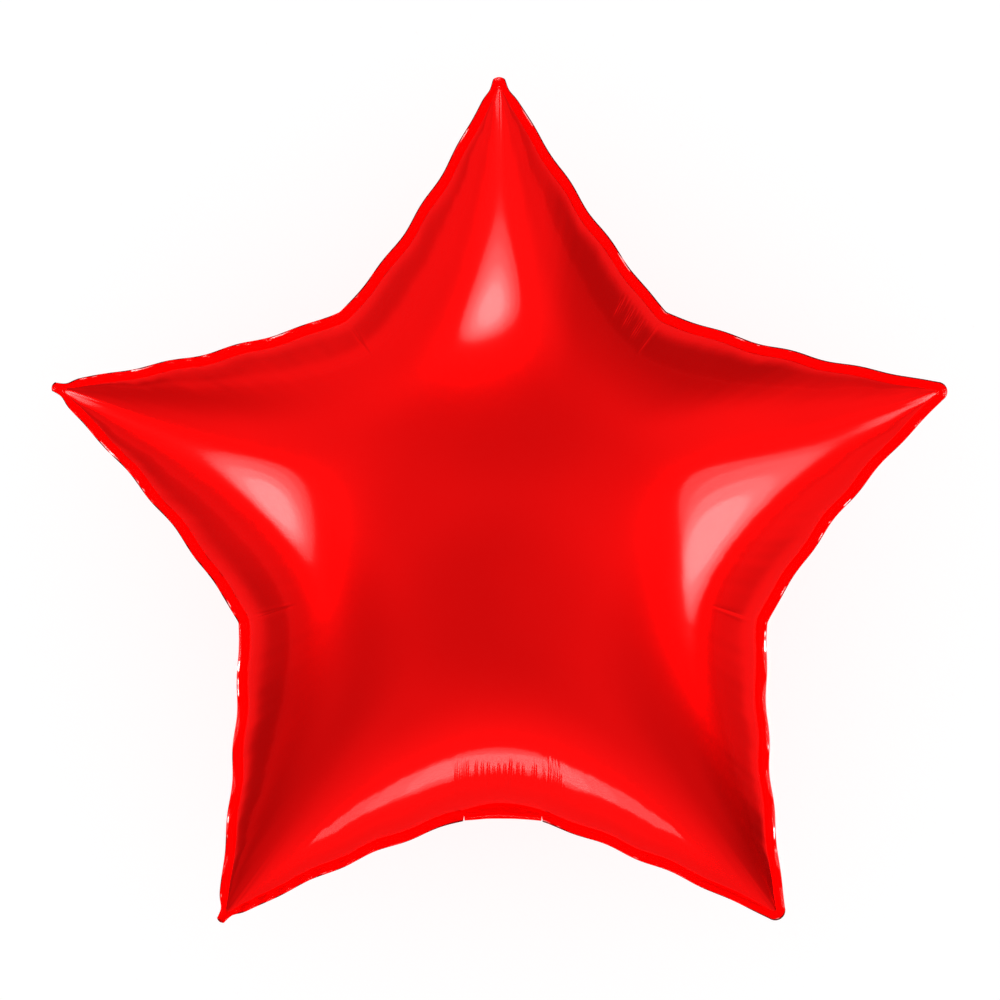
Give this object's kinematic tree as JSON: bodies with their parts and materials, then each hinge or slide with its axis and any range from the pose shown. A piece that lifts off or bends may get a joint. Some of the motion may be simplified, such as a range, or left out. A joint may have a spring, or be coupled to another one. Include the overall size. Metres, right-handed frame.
{
  "type": "star foil balloon",
  "caption": "Inflated pointed star balloon of metallised film with a welded margin, gathers over its valve and a filling tail folded behind the lower notch.",
  "frame": {"origin": "middle of the flat on which the back rests, straight under the middle of the star", "axes": "+Z out of the front of the balloon, +Y towards the top point of the star, +X to the right seen from the front"},
  "size_m": [0.4212, 0.3977, 0.1652],
  "materials": {
    "red_film": "glossy metallised polymer film, deep red, smooth with fine puckers along its welds"
  },
  "bodies": {
    "root": {"foil_balloon": "red_film"}
  },
  "joints": []
}
